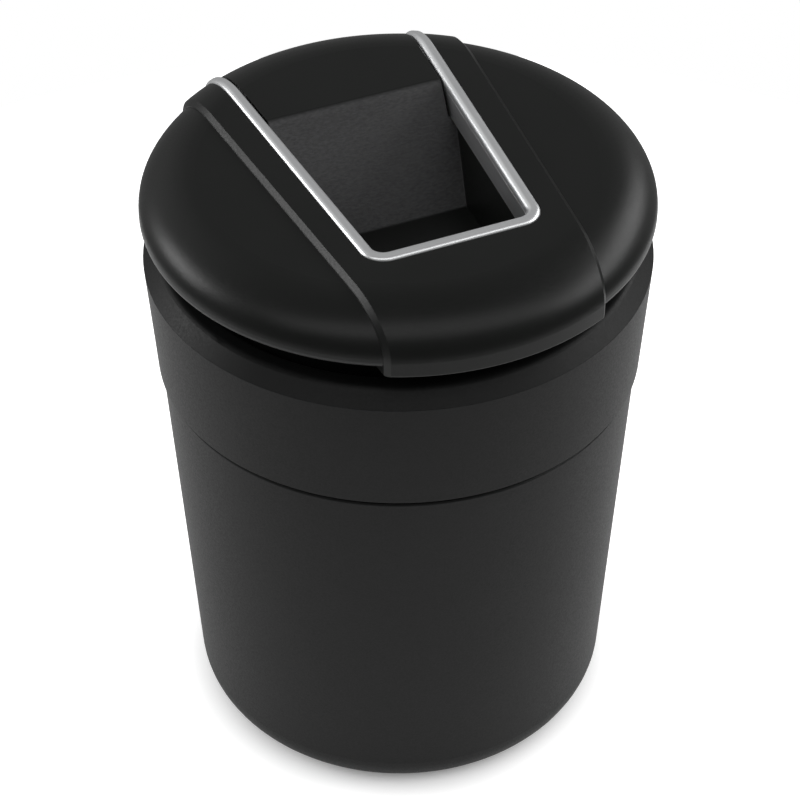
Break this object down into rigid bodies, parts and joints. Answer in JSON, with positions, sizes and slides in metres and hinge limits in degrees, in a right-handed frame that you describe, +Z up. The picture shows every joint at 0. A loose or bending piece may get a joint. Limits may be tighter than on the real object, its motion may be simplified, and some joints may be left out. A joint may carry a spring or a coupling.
{
  "type": "car ashtray",
  "caption": "Tapered cup-holder ashtray with a turn-off head, a round hinged lid, a bright framed finger scoop, a loose ash liner and a notched snuffing insert in the mouth.",
  "frame": {"origin": "middle of the base, on the surface that the ashtray stands on", "axes": "+Z up, -Y the front edge of the lid, +Y the lid's hinge, +X to the right seen from the front"},
  "size_m": [0.076, 0.0773, 0.1005],
  "materials": {
    "cup_plastic": "fine matte black moulding",
    "collar_plastic": "fine matte black moulding",
    "lid_plastic": "fine matte black moulding",
    "scoop_plastic": "sparked matte black moulding",
    "inner_plastic": "plain black moulding",
    "trim_metal": "satin silver strip",
    "liner_metal": "spun, uncoated",
    "insert_steel": "pressed sheet",
    "pin_steel": "plain bright steel",
    "washer_nylon": "natural nylon",
    "seal_rubber": "soft matt rubber"
  },
  "bodies": {
    "cup": {"cup": "cup_plastic", "ash_liner": "liner_metal"},
    "head": {"collar": "collar_plastic", "neck_ring": "inner_plastic", "neck_gasket": "seal_rubber", "mouth_insert": "insert_steel", "hinge_pin": "pin_steel", "hinge_washers": "washer_nylon"},
    "lid": {"lid_cover": "lid_plastic", "trim_frame": "trim_metal", "finger_scoop": "scoop_plastic", "lid_plate": "inner_plastic", "lid_seal": "seal_rubber", "lid_screws": "pin_steel"}
  },
  "joints": [
    {"name": "head_turn", "type": "hinge", "parent": "cup", "child": "head", "pos_m": [0, 0, 0.0651], "axis": [0, 0, 1], "range_deg": [0, 40]},
    {"name": "lid_hinge", "type": "hinge", "parent": "head", "child": "lid", "pos_m": [0, 0.03442, 0.091], "axis": [-1, 0, 0], "range_deg": [0, 95]}
  ]
}
